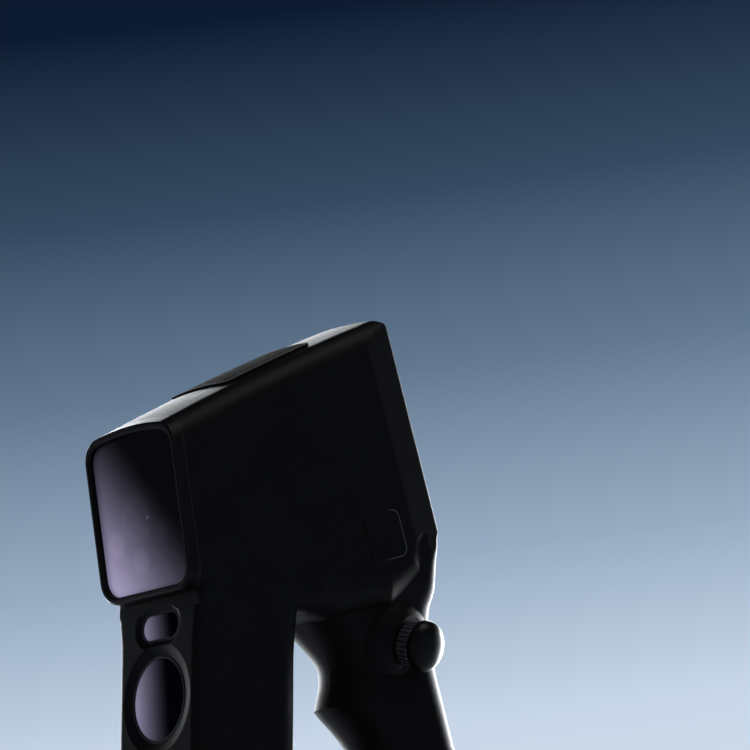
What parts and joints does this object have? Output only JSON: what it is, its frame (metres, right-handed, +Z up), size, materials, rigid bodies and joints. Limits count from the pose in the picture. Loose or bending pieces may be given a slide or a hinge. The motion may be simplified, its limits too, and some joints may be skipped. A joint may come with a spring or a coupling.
{
  "type": "handheld 3d scanner",
  "caption": "Handheld optical 3D scanner: tilted window head over a camera column, rear touch screen, slanted grip with thumb dial, flat base",
  "frame": {"origin": "on the underside of the rubber foot, in the middle plane, 50 mm behind the column's front", "axes": "+Z up, -Y the scanning direction, +X the side with the thumb control (the user's left)"},
  "size_m": [0.0706, 0.1999, 0.2569],
  "materials": {
    "shell": "fine matt black, soft touch",
    "window_frame": "satin black with a bright bevel",
    "front_window": "violet coated dark glass",
    "lens_glass": "coated lens glass",
    "barrel": "black anodised",
    "inner_plate": "black inner plate",
    "camera_ring": "dark bright-edged ring",
    "grille": "black moulded grille",
    "fan": "black fan plastic",
    "sink": "extruded fins",
    "board": "green circuit board",
    "screen_glass": "black cover glass",
    "panel": "display panel",
    "button": "grey black key",
    "metal": "plain steel",
    "control": "smooth black cap",
    "ring": "knurled dark metal",
    "cells": "shrink wrapped cells",
    "rubber": "soft black rubber"
  },
  "bodies": {
    "body": {"left_housing": "shell", "right_housing": "shell", "window_frame": "window_frame", "front_window": "front_window", "optics_plate": "inner_plate", "projector_barrel": "barrel", "projector_lens": "lens_glass", "camera_barrels": "barrel", "camera_lenses": "lens_glass", "camera_ring": "camera_ring", "camera_window": "front_window", "camera_module": "barrel", "camera_lens": "lens_glass", "sensor_ring": "camera_ring", "sensor_window": "front_window", "sensor_module": "barrel", "vent_grille": "grille", "fan_frame": "fan", "fan_screws": "metal", "heat_sink": "sink", "main_board": "board", "display_frame": "shell", "touch_glass": "screen_glass", "display_panel": "panel", "power_switch": "board", "port_hinge_pin": "metal", "usb_sockets": "metal", "port_board": "board", "control_collar": "barrel", "encoder": "metal", "battery_pack": "cells", "base_cover": "grille", "rubber_foot": "rubber", "cover_screws": "metal", "housing_screws": "metal"},
    "fan": {"fan_rotor": "fan"},
    "dial": {"control_ring": "ring"},
    "cap": {"control_cap": "control"},
    "door": {"port_door": "shell"},
    "power": {"power_button": "button"}
  },
  "joints": [
    {"name": "fan_spin", "type": "hinge", "parent": "body", "child": "fan", "pos_m": [0, -0.0013, 0.21979], "axis": [0, -0.4776, 0.8786], "continuous": true},
    {"name": "dial_turn", "type": "hinge", "parent": "body", "child": "dial", "pos_m": [0.0219, 0.0728, 0.1122], "axis": [0.9348, 0.268, -0.233], "continuous": true},
    {"name": "cap_press", "type": "slide", "parent": "body", "child": "cap", "axis": [-0.9348, -0.268, 0.233], "range_m": [0, 0.0012], "stiffness_N_per_m": 1500, "springref_m": -0.0008},
    {"name": "door_hinge", "type": "hinge", "parent": "body", "child": "door", "pos_m": [0.0315, 0.04117, 0.15401], "axis": [0, 0.314, -0.9494], "range_deg": [0, 95]},
    {"name": "power_press", "type": "slide", "parent": "body", "child": "power", "axis": [0, -0.9494, -0.314], "range_m": [0, 0.0007], "stiffness_N_per_m": 1200, "springref_m": -0.0008}
  ]
}
